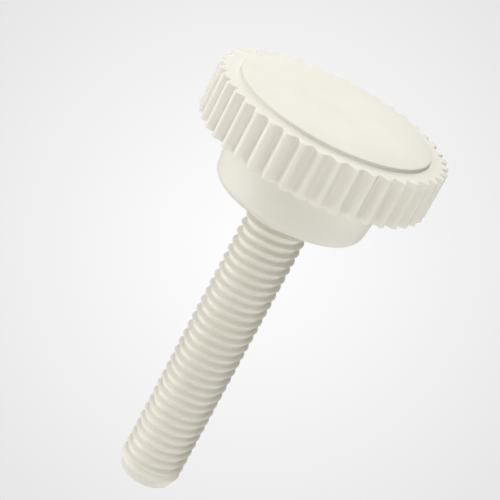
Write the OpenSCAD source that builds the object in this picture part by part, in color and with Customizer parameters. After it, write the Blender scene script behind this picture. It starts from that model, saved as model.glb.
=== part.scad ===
// Thumb screw, moulded in one piece: a fluted head with a raised disc, a collar and a threaded shank.
// It stands on the disc of its head, with the shank upwards along +Z.

/* [Head] */
// Diameter over the crests of the flutes
head_d = 29; // [25:0.1:40]
// Height of the fluted rim
head_h = 5.9; // [4:0.1:11]
// Number of flutes round the rim
flutes = 42; // [24:1:60]
// Depth of a flute from crest to valley
flute_depth = 0.85; // [0.25:0.05:1.2]
// Diameter of the raised disc on the head's face
disc_d = 24.2; // [15:0.1:24.2]
// Height of the straight wall round the raised disc
disc_h = 0.52; // [0.2:0.02:1.2]
// Rise of the dome inside that wall
dome_h = 0.56; // [0.12:0.02:1.2]
// Diameter of the flat middle of the dome
dome_flat_d = 11.2; // [5:0.1:14]

/* [Collar] */
// Height of the collar between the rim and its seat
collar_h = 6.6; // [4:0.1:12]
// Diameter of the collar where it leaves the rim
collar_head_d = 20.2; // [18.8:0.1:22.5]
// Diameter of the collar at its seat, before the edge is rounded
collar_seat_d = 18.8; // [15:0.1:18.8]
// Radius of the rounded edge round the seat
collar_round = 1.4; // [0.4:0.1:2.4]

/* [Thread] */
// Diameter over the crests of the thread, a little under its nominal 8
thread_d = 7.84; // [6.5:0.01:10]
// Distance from one turn to the next
pitch = 1.25; // [1:0.05:1.5]
// Depth of the groove from crest to root
thread_depth = 0.6; // [0.4:0.05:0.8]
// Length of the shank from the collar's seat to its tip
shank_l = 40; // [15:1:50]
// Length of the chamfer at the tip
tip_l = 1.5; // [0.6:0.1:2.5]
// Diameter of the flat end of the tip
tip_d = 6.5; // [6:0.1:6.8]
// Length of the plain land between the seat and the thread
land_l = 0.6; // [0.5:0.1:1.8]
// Length over which the groove deepens after the land and fades before the chamfer
run_out = 1.25; // [0.6:0.05:2.5]
// Height of the first groove above the seat, on the +X side
groove_start = 1.04; // [0:0.01:1.25]

/* [Hidden] */

$fn = 96;
head_r = head_d / 2;
disc_r = disc_d / 2;
thread_r = thread_d / 2;
tip_r = tip_d / 2;

// Heights, from the flat middle of the dome upwards
disc_z = dome_h;
rim_z = disc_z + disc_h;
rim_top_z = rim_z + head_h;
seat_z = rim_top_z + collar_h;
tip_z = seat_z + shank_l;
// How far a solid reaches into the one that carries it
bite = 1;

// One flute is a wave of twelve points: a soft crest, slightly bulging sides and a narrower valley
flute_points = 12;
bulge = 0.055;
function ridge(turn) = (cos(turn) + cos(3 * turn) / 9) / (1 + 1 / 9) + bulge * (1 - cos(2 * turn));
function rim_r(turn) = head_r - flute_depth * (1 - ridge(turn)) / 2;

// Depth of the groove over one pitch: a flat root, two flanks and a narrow rounded crest
// Each row is [share of the pitch past the middle of the root, share of the depth]
groove = [[-0.13, 1], [0.13, 1], [0.4, 0.15], [0.5, 0], [0.6, 0.15]];
rows = len(groove);
columns = 24;
turn_low = -ceil((bite + groove_start) / pitch) - 1;
turns = ceil(shank_l / pitch) + 2 - turn_low;

// Radius of the thread at a share of the pitch past the root, between two points of the groove
function between(u, a, b) = a[1] + (b[1] - a[1]) * (u - a[0]) / (b[0] - a[0]);
function depth_at(u, k = 0) =
    let (a = groove[k], b = k + 1 < rows ? groove[k + 1] : [groove[0][0] + 1, groove[0][1]])
    u <= b[0] || k == rows - 1 ? between(u, a, b) : depth_at(u, k + 1);
function past_root(angle, z) =
    let (u = (z - seat_z - groove_start) / pitch - angle / 360 - groove[0][0])
    u - floor(u) + groove[0][0];

// The groove deepens after a plain land, and has faded where the chamfer starts
function share(length) = min(1, max(0, length / run_out));
function chamfer_r(z) = min(thread_r, tip_r + (tip_z - z) * (thread_r - tip_r) / tip_l);
function floor_r(z) = thread_r - thread_depth * min(share(z - seat_z - land_l), share(tip_z - tip_l - z));
function shank_r(angle, z) =
    min(chamfer_r(z), max(floor_r(z), thread_r - thread_depth * depth_at(past_root(angle, z))));

module fluted_rim() {
    count = flutes * flute_points;
    translate([0, 0, rim_z])
        linear_extrude(head_h)
            polygon([for (i = [0 : count - 1])
                rim_r(360 * i / flute_points) * [cos(360 * i / count), sin(360 * i / count)]]);
}

// The face of the head: flat in the middle, falling away along one arc to a short straight wall
module raised_disc() {
    flat_r = dome_flat_d / 2;
    run = disc_r - flat_r;
    dome_r = (run * run + dome_h * dome_h) / (2 * dome_h);
    rotate_extrude() {
        square([flat_r, rim_z + bite]);
        intersection() {
            square([disc_r, rim_z + bite]);
            union() {
                translate([flat_r, dome_r]) circle(dome_r, $fn = 720);
                translate([0, disc_z]) square([disc_r, rim_z + bite - disc_z]);
            }
        }
    }
}

// A slightly tapered boss with a rounded edge round its flat seat
module collar() {
    wall_r = collar_head_d / 2;
    seat_r = collar_seat_d / 2;
    slope = (wall_r - seat_r) / collar_h;
    lean = atan(slope);
    edge_r = seat_r + slope * collar_round - collar_round / cos(lean);
    edge_z = seat_z - collar_round;
    foot_z = rim_top_z - bite;
    rotate_extrude() {
        polygon([
            [0, foot_z],
            [wall_r, foot_z],
            [wall_r, rim_top_z],
            [edge_r + collar_round * cos(lean), edge_z + collar_round * sin(lean)],
            [edge_r, edge_z],
            [edge_r, seat_z],
            [0, seat_z]
        ]);
        translate([edge_r, edge_z]) circle(collar_round);
    }
}

// A right-hand thread: each row of points climbs one pitch in a turn, and is cut off flat at both ends
module threaded_shank() {
    low = seat_z - bite;
    steps = turns * rows;
    function height(i, j) = seat_z + groove_start
        + pitch * (turn_low + floor(j / rows) + groove[j % rows][0] + i / columns);
    function level(i, j) = max(low, min(tip_z, height(i, j)));
    function place(i, j) =
        let (angle = 360 * i / columns, z = level(i, j), r = shank_r(angle, z))
        [r * cos(angle), r * sin(angle), z];
    // Past the last column comes the first one, a turn further up
    function index(i, j) = i < columns ? i * (steps + 1) + j : j + rows;
    function corner(i, j) = i < columns ? level(i, j) : level(0, j + rows);
    function shows(i, j) = corner(i, j + 1) > corner(i, j);
    foot = columns * (steps + 1);
    polyhedron(
        points = concat(
            [for (i = [0 : columns - 1], j = [0 : steps]) place(i, j)],
            [[0, 0, low], [0, 0, tip_z]]),
        faces = concat(
            [for (i = [0 : columns - 1], j = [0 : steps - rows - 1])
                if (shows(i, j)) [index(i, j), index(i, j + 1), index(i + 1, j)]],
            [for (i = [0 : columns - 1], j = [0 : steps - rows - 1])
                if (shows(i + 1, j)) [index(i + 1, j), index(i, j + 1), index(i + 1, j + 1)]],
            [for (i = [0 : columns - 1])
                [foot, index(i, 0), index((i + 1) % columns, 0)]],
            [for (i = [0 : columns - 1])
                [foot + 1, index((i + 1) % columns, steps), index(i, steps)]])
    );
}

module thumb_screw() {
    color("ivory") {
        raised_disc();
        fluted_rim();
        collar();
        threaded_shank();
    }
}

thumb_screw();
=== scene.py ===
from math import atan, ceil, cos, degrees, pi, radians, sin, sqrt
import bpy
from mathutils import Euler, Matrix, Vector


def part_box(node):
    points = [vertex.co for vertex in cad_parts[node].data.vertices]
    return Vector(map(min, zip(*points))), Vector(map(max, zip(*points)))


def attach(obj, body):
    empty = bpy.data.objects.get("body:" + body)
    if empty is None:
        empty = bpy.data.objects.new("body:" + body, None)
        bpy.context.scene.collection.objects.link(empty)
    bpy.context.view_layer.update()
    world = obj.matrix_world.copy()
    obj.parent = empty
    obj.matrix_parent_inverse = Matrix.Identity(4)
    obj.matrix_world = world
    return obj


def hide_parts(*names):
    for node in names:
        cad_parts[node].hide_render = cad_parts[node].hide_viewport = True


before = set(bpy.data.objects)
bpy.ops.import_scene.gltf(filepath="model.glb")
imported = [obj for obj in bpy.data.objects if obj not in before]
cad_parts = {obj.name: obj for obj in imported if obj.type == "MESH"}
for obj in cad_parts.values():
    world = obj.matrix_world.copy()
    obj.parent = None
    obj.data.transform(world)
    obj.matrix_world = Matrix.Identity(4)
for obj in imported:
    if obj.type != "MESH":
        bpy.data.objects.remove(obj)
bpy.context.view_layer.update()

boxLow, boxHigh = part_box("thumb_screw")
mm = 0.001
print("stage: frame loaded")


# every shader number goes through this class, so a formula reads as a formula
class Wire:
    def __init__(self, tree, socket=None):
        self.tree = tree
        self.socket = socket

    def node(self, kind, settings, sockets, out=0):
        made = self.tree.nodes.new(kind)
        for name, value in settings.items():
            setattr(made, name, value)
        for name, value in sockets.items():
            if isinstance(value, Wire):
                self.tree.links.new(value.socket, made.inputs[name])
            else:
                made.inputs[name].default_value = value
        return Wire(self.tree, made.outputs[out] if made.outputs else None)

    def math(self, operation, a, b):
        return self.node("ShaderNodeMath", {"operation": operation}, {0: a, 1: b})

    def __add__(self, other):
        return self.math("ADD", self, other)

    __radd__ = __add__

    def __sub__(self, other):
        return self.math("SUBTRACT", self, other)

    def __rsub__(self, other):
        return self.math("SUBTRACT", other, self)

    def __mul__(self, other):
        return self.math("MULTIPLY", self, other)

    __rmul__ = __mul__

    # 0 at the low end, 1 at the high end, and even between them
    def spread(self, low, high):
        ends = {"From Min": low, "From Max": high}
        return self.node("ShaderNodeMapRange", {"clamp": True}, {"Value": self, **ends})


def mixColours(factor, a, b):
    mixed = {"Factor": factor, 6: a, 7: b}
    return factor.node("ShaderNodeMix", {"data_type": "RGBA"}, mixed, 2)


def surface(name):
    material = bpy.data.materials.new(name)
    material.use_nodes = True
    material.node_tree.nodes.clear()
    return material, Wire(material.node_tree)


# sRGB numbers as a picture shows them, turned into the linear ones that a shader takes
def seen(*shades):
    values = [s / 255 for s in shades]
    linear = [v / 12.92 if v < 0.04045 else ((v + 0.055) / 1.055) ** 2.4 for v in values]
    return (*linear, 1)


# natural nylon as it leaves the mould: off-white, satin, a little light goes into it
nylon = {
    "colour": seen(220, 217, 206),
    "cloudy": seen(217, 214, 202),
    "cloudSize": 6.0 * mm,
    "cloudEnds": (0.35, 0.65),
    "grainSize": 0.2 * mm,
    "grainHeight": 0.004 * mm,
    "grainEnds": (0.3, 0.7),
    "waveSize": 3.2 * mm,
    "waveHeight": 0.004 * mm,
    "roughness": (0.56, 0.66),
    "refraction": 1.53,
    "depth": 0.5 * mm,
    "depthOfEachColour": (1.0, 0.95, 0.85),
    "glow": 0.15,
}


def nylonMaterial():
    material, tree = surface("mouldedNylon")
    place = tree.node("ShaderNodeTexCoord", {}, {}, "Object")

    def noise(size, detail):
        sockets = {"Vector": place, "Scale": 1 / size, "Detail": detail}
        return tree.node("ShaderNodeTexNoise", {}, sockets, 0)

    clouds = noise(nylon["cloudSize"], 3.0).spread(*nylon["cloudEnds"])
    grain = noise(nylon["grainSize"], 2.0)
    waves = noise(nylon["waveSize"], 1.0)
    low, high = nylon["roughness"]
    relief = grain * (nylon["grainHeight"] / mm) + waves * (nylon["waveHeight"] / mm)
    bump = tree.node("ShaderNodeBump", {}, {"Height": relief, "Distance": mm, "Strength": 1.0})
    shader = tree.node("ShaderNodeBsdfPrincipled", {}, {
        "Base Color": mixColours(clouds, nylon["colour"], nylon["cloudy"]),
        "Roughness": grain.spread(*nylon["grainEnds"]) * (high - low) + low,
        "Normal": bump,
        "IOR": nylon["refraction"],
        "Subsurface Weight": nylon["glow"],
        "Subsurface Radius": nylon["depthOfEachColour"],
        "Subsurface Scale": nylon["depth"],
    })
    tree.node("ShaderNodeOutputMaterial", {}, {"Surface": shader})
    return material


# the head, from the flat middle of its face to the rim's underside
head = {
    "radius": (boxHigh.x - boxLow.x) / 2,
    "flutes": 42,
    "columnsPerFlute": 20,
    "fluteDepth": 0.85 * mm,
    "crestEnd": 0.1,
    "valleyStart": 0.45,
    "fluteSoftness": 0.15,
    "rimHeight": 5.9 * mm,
    "rimEdge": 0.12 * mm,
    "rimInset": 1.25 * mm,
    "discRadius": 12.1 * mm,
    "discWall": 0.52 * mm,
    "discEdge": 0.12 * mm,
    "discCorner": 0.08 * mm,
    "dome": 0.56 * mm,
    "domeFlat": 5.6 * mm,
    "flatRings": (0.35, 0.7),
    "wallRings": (0.25, 0.5, 0.75),
    "sharpFrom": 45,
}

# the tapered boss between the rim and its seat
collar = {
    "height": 6.6 * mm,
    "headRadius": 10.1 * mm,
    "seatRadius": 9.4 * mm,
    "edge": 1.4 * mm,
    "root": 0.2 * mm,
    "seatFlat": 6.7 * mm,
    "wallRings": (0.25, 0.5, 0.75),
}

# the thread, whose first groove starts a little above the seat on the +X side
thread = {
    "radius": 3.92 * mm,
    "pitch": 1.25 * mm,
    "depth": 0.6 * mm,
    "start": 1.04 * mm,
    "foot": 4.7 * mm,
    "tipLength": 1.5 * mm,
    "tipRadius": 3.25 * mm,
    "tipRing": 0.8,
    "land": 0.6 * mm,
    "runOut": 1.25 * mm,
    "rootFlat": 0.12,
    "rowsOffCrest": (0.09, 0.18, 0.26, 0.34, 0.42, 0.47),
}

# heights from the flat middle of the face upwards
rimLow = head["dome"] + head["discWall"]
rimHigh = rimLow + head["rimHeight"]
seat = rimHigh + collar["height"]
tip = boxHigh.z


# a ramp that stays at 0 and then climbs, with its bend rounded over a width on both sides
def eased(x, width):
    return 0 if x < -width else x if x > width else (x + width) ** 2 / (4 * width)


# height of a rib at a share of the flutes' pitch from its middle:
# a flat crest, even sides and a narrow valley
def ribHeight(share):
    away = abs(share - round(share))
    climb = (head["valleyStart"] - away) / (head["valleyStart"] - head["crestEnd"])
    return eased(climb, head["fluteSoftness"]) - eased(climb - 1, head["fluteSoftness"])


# points of (radius, height) along an arc, between two angles in degrees
def arc(centre, radius, first, last, steps):
    angles = [radians(first + (last - first) * k / steps) for k in range(steps + 1)]
    return [(centre[0] + radius * cos(a), centre[1] + radius * sin(a)) for a in angles]


# the face of the head: flat in the middle, falling away along one arc to a short straight wall
def faceOutline():
    flat, edge, corner = head["domeFlat"], head["discEdge"], head["discCorner"]
    run = head["discRadius"] - flat
    domeRadius = (run ** 2 + head["dome"] ** 2) / (2 * head["dome"])
    edgeSide = head["discRadius"] - edge
    # the small round between the dome and its wall touches both
    reach = sqrt((domeRadius - edge) ** 2 - (edgeSide - flat) ** 2)
    touch = degrees(atan((edgeSide - flat) / reach))
    return [
        *[(flat * share, 0.0) for share in head["flatRings"]],
        *arc((flat, domeRadius), domeRadius, -90, touch - 90, steps=12),
        *arc((edgeSide, domeRadius - reach), edge, touch - 90, 0, steps=5)[1:],
        *arc((head["discRadius"] + corner, rimLow - corner), corner, 180, 90, steps=3),
        (head["radius"] - head["rimInset"], rimLow),
    ]


# the rim over its crests, with a small round at both edges
def rimOutline():
    soft, crest = head["rimEdge"], head["radius"]
    return [
        *arc((crest - soft, rimLow + soft), soft, -90, 0, steps=4),
        *[(crest, rimLow + head["rimHeight"] * share) for share in head["wallRings"]],
        *arc((crest - soft, rimHigh - soft), soft, 0, 90, steps=4),
    ]


# the collar: a small round at its root, a tapered wall and a rounded edge round its seat
def collarOutline():
    root, bend = collar["root"], collar["edge"]
    slope = (collar["headRadius"] - collar["seatRadius"]) / collar["height"]
    lean = atan(slope)
    bendCentre = (collar["seatRadius"] + slope * bend - bend / cos(lean), seat - bend)
    wallLow = rimHigh + root
    wallHigh = bendCentre[1] + bend * sin(lean)
    wall = [wallLow + (wallHigh - wallLow) * share for share in collar["wallRings"]]
    return [
        (head["radius"] - head["rimInset"], rimHigh),
        *arc((collar["headRadius"] + root, rimHigh + root), root, -90, -180, steps=3),
        *[(collar["headRadius"] - slope * (z - rimHigh), z) for z in wall],
        *arc(bendCentre, bend, degrees(lean), 90, steps=9),
        (collar["seatFlat"], seat),
    ]


# how deep the groove is at a share of the pitch away from the middle of its root
def grooveDepth(share):
    away = abs(share - round(share))
    rise = min(1, max(0, (away - thread["rootFlat"]) / (0.5 - thread["rootFlat"])))
    return 1 - rise * rise * (3 - 2 * rise)


# radius of the shank at a share of a turn and a height: the groove deepens after a plain land,
# and has faded where the chamfer starts
def shankRadius(turn, z):
    share = (z - seat - thread["start"]) / thread["pitch"] - turn
    crest, end = thread["radius"], thread["tipRadius"]
    chamfer = min(crest, end + (tip - z) * (crest - end) / thread["tipLength"])
    grow = min(1, max(0, (z - seat - thread["land"]) / thread["runOut"]))
    fade = min(1, max(0, (tip - thread["tipLength"] - z) / thread["runOut"]))
    lowest = crest - thread["depth"] * min(grow, fade)
    return min(chamfer, max(lowest, crest - thread["depth"] * grooveDepth(share)))


def onCircle(radius, turn, z):
    return (radius * cos(2 * pi * turn), radius * sin(2 * pi * turn), z)


# a closed skin that grows ring by ring, where a ring is a list of the numbers of its points
class Skin:
    def __init__(self):
        self.points = []
        self.faces = []

    def point(self, place):
        self.points.append(place)
        return len(self.points) - 1

    def ring(self, count, radius, z, fluted=False):
        def radiusAt(turn):
            cut = head["fluteDepth"] * (1 - ribHeight(head["flutes"] * turn)) if fluted else 0
            return radius - cut
        turns = [k / count for k in range(count)]
        return [self.point(onCircle(radiusAt(turn), turn, z)) for turn in turns]

    # corners that fall together count once
    def face(self, *corners):
        kept = [p for n, p in enumerate(corners) if p != corners[n - 1]]
        if len(kept) > 2:
            self.faces.append(tuple(kept))

    # joins two rings; the finer has a whole number of points to each point of the other
    def band(self, low, high):
        count = max(len(low), len(high))

        def at(ring, k):
            return ring[k * len(ring) // count % len(ring)]

        for k in range(count):
            a, b, c, d = at(low, k), at(low, k + 1), at(high, k + 1), at(high, k)
            if len(low) == len(high):
                self.face(a, b, c, d)
            elif len(low) > len(high):
                self.face(a, b, d)
                self.face(b, c, d)
            else:
                self.face(a, c, d)
                self.face(a, b, c)


# the head and collar, from the middle of the face to the seat, with few points where few will do
def growHead(skin, around, columns):
    first, *outline = faceOutline()
    last = skin.ring(columns, *first)
    skin.band([skin.point((0, 0, 0))], last)
    rings = [(around // 4, place, False) for place in outline]
    rings += [(around, place, True) for place in rimOutline()]
    rings += [(around // 4, place, False) for place in collarOutline()]
    for count, place, fluted in rings:
        following = skin.ring(count, *place, fluted)
        skin.band(last, following)
        last = following
    return last


# the thread: columns of points that climb one pitch in a turn, cut off flat at the seat and the tip
def growShank(skin, last, columns):
    sides = [side * share for share in thread["rowsOffCrest"] for side in (-1, 1)]
    marks = sorted(0.5 + side for side in [0, *sides])
    rows = len(marks)
    lowTurn = -2  # from below the seat to above the tip
    highTurn = ceil((tip - seat) / thread["pitch"]) + 3
    placed = {}

    def at(column, row):
        if column == columns:
            column, row = 0, row + rows
        turn = column / columns
        climb = lowTurn + row // rows + marks[row % rows] + turn
        z = max(seat, min(tip, seat + thread["start"] + thread["pitch"] * climb))
        if (column, z) not in placed:
            placed[column, z] = skin.point(onCircle(shankRadius(turn, z), turn, z))
        return placed[column, z]

    foot = [at(column, 0) for column in range(columns)]
    seatRing = skin.ring(columns, thread["foot"], seat)
    skin.band(last, seatRing)
    skin.band(seatRing, foot)
    top = (highTurn - lowTurn) * rows
    for column in range(columns):
        for row in range(top - rows):
            low, high = at(column, row), at(column, row + 1)
            lowNext, highNext = at(column + 1, row), at(column + 1, row + 1)
            skin.face(low, lowNext, highNext, high)
    rim = [at(column, top - 1) for column in range(columns)]
    tipRing = skin.ring(columns, thread["tipRadius"] * thread["tipRing"], tip)
    skin.band(rim, tipRing)
    skin.band(tipRing, [skin.point((0, 0, tip))])


# one skin from the face of the head to the tip, as the mould made it in one piece
def screwMesh():
    skin = Skin()
    around = head["flutes"] * head["columnsPerFlute"]
    columns = around // 8
    seatEdge = growHead(skin, around, columns)
    growShank(skin, seatEdge, columns)
    mesh = bpy.data.meshes.new("screwSkin")
    mesh.from_pydata(skin.points, [], skin.faces)
    mesh.validate()
    mesh.shade_smooth()
    mesh.set_sharp_from_angle(angle=radians(head["sharpFrom"]))
    return mesh


def makeScrew():
    mesh = screwMesh()
    piece = bpy.data.objects.new("thumbScrew", mesh)
    bpy.context.scene.collection.objects.link(piece)
    mesh.materials.append(nylonMaterial())
    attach(piece, "root")
    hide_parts("thumb_screw")
    print("stage: screw made,", len(mesh.polygons), "faces")


# the floor shows from above, fades into the backdrop, and lets the view from below through
# the lamps below it light the foot of the screw, so the shade round the foot is painted
ground = {
    "radius": 400 * mm,
    "sides": 96,
    "colour": seen(228, 228, 228),
    "shaded": seen(187, 187, 187),
    "shadeEnds": (13.0 * mm, 21.0 * mm),
    "fadeEnds": (50 * mm, 300 * mm),
}

# the photograph's backdrop: white behind the screw and greyer evenly with the angle away from there
backdrop = {
    "middle": (0.031, 0.925, 0.3785),
    "reach": 0.127,
    "behind": seen(255, 255, 255),
    "far": seen(231, 231, 231),
    "light": 0.17,
}


def makeFloor():
    material, tree = surface("paleFloor")
    ray = tree.node("ShaderNodeLightPath", {}, {}, "Is Camera Ray")
    below = tree.node("ShaderNodeNewGeometry", {}, {}, "Backfacing")
    place = tree.node("ShaderNodeTexCoord", {}, {}, "Object")
    away = tree.node("ShaderNodeVectorMath", {"operation": "LENGTH"}, {0: place}, "Value")
    lit = away.spread(*ground["shadeEnds"])
    paint = tree.node("ShaderNodeBsdfPrincipled", {}, {
        "Base Color": mixColours(lit, ground["shaded"], ground["colour"]),
        "Roughness": 1.0,
        "Specular IOR Level": 0.0,
    })
    clear = tree.node("ShaderNodeBsdfTransparent", {}, {})
    shown = ray * (1 - below) * (1 - away.spread(*ground["fadeEnds"]))
    both = tree.node("ShaderNodeMixShader", {}, {0: shown, 1: clear, 2: paint})
    tree.node("ShaderNodeOutputMaterial", {}, {"Surface": both})
    sides = range(ground["sides"])
    rim = [onCircle(ground["radius"], k / ground["sides"], 0) for k in sides]
    mesh = bpy.data.meshes.new("floorDisc")
    mesh.from_pydata(rim, [], [tuple(sides)])
    mesh.materials.append(material)
    made = bpy.data.objects.new("floor", mesh)
    bpy.context.scene.collection.objects.link(made)
    print("stage: floor made")


def makeWorld():
    world = bpy.data.worlds.new("studio")
    bpy.context.scene.world = world
    world.use_nodes = True
    world.node_tree.nodes.clear()
    tree = Wire(world.node_tree)
    way = tree.node("ShaderNodeTexCoord", {}, {}, "Generated")
    facing = tree.node("ShaderNodeVectorMath", {"operation": "DOT_PRODUCT"},
                       {0: way, 1: backdrop["middle"]}, "Value")
    # the square root of 1 - cosine grows evenly with the angle
    away = tree.math("POWER", 1 - facing, 0.5).spread(0, backdrop["reach"])
    shade = mixColours(away, backdrop["behind"], backdrop["far"])
    ray = tree.node("ShaderNodeLightPath", {}, {}, "Is Camera Ray")
    shown = tree.node("ShaderNodeBackground", {}, {"Color": shade, "Strength": 1.0})
    white = {"Color": seen(255, 255, 255), "Strength": backdrop["light"]}
    light = tree.node("ShaderNodeBackground", {}, white)
    both = tree.node("ShaderNodeMixShader", {}, {0: ray, 1: light, 2: shown})
    tree.node("ShaderNodeOutputWorld", {}, {"Surface": both})
    print("stage: world made")


# the photograph's view: it looks at the face of the head from below and to one side
view = {
    "aim": Vector((1.475, 2.075, 21.61)) * mm,
    "distance": 226.5 * mm,
    "azimuth": -1.96,
    "elevation": -22.35,
    "roll": -152.1,
    "lens": 137.2,
    "filmWidth": 36,
    "nearest": 10 * mm,
}


def makeCamera():
    data = bpy.data.cameras.new("camera")
    data.lens = view["lens"]
    data.sensor_width = view["filmWidth"]
    data.clip_start = view["nearest"]
    camera = bpy.data.objects.new("camera", data)
    bpy.context.scene.collection.objects.link(camera)
    turn = Euler((radians(90 - view["elevation"]), 0, radians(view["azimuth"]))).to_matrix()
    roll = Euler((0, 0, radians(view["roll"]))).to_matrix()
    back = turn @ Vector((0, 0, 1))
    camera.matrix_world = (turn @ roll).to_4x4()
    camera.location = view["aim"] + back * view["distance"]
    bpy.context.scene.camera = camera
    print("stage: camera set")


# each lamp stands round the screw's middle: its way from there as the photograph's view has it
# (right, up, towards the camera), and its power in watts
lamps = {
    "away": 0.75,
    "size": 0.44,
    "middle": Vector((0, 0, 19)) * mm,
    "round": {
        "frontRight": ((0.29, 0.5, 0.82), 1.25),
        "frontLeft": ((-0.29, 0.5, 0.82), 0.85),
        "frontLow": ((-0.05, -0.5, 0.86), 1.65),
        "upperRight": ((0.35, 0.84, 0.42), 2.6),
        "leftLow": ((-0.84, -0.35, 0.42), 1.05),
        "lowerRight": ((0.35, -0.84, 0.42), 1.75),
        "upperLeft": ((-0.7, 0.7, -0.09), 2.7),
        "left": ((-1, 0, -0.09), 2.3),
        "sideRight": ((0.7, -0.7, -0.09), 0.8),
        "behindRight": ((0.41, 0.71, -0.57), 1.8),
        "behindLow": ((0.41, -0.71, -0.57), 1.6),
    },
}


def makeLamps():
    sides = bpy.context.scene.camera.matrix_world.to_3x3()
    for name, (way, power) in lamps["round"].items():
        data = bpy.data.lights.new(name, "AREA")
        data.shape = "DISK"
        data.size = lamps["size"]
        data.energy = power
        made = bpy.data.objects.new(name, data)
        outwards = (sides @ Vector(way)).normalized()
        made.location = lamps["middle"] + outwards * lamps["away"]
        made.rotation_euler = outwards.to_track_quat("Z", "Y").to_euler()
        bpy.context.scene.collection.objects.link(made)
    print("stage: lamps set")


makeCamera()
makeScrew()
makeFloor()
makeWorld()
makeLamps()
bpy.context.scene.view_settings.view_transform = "Standard"
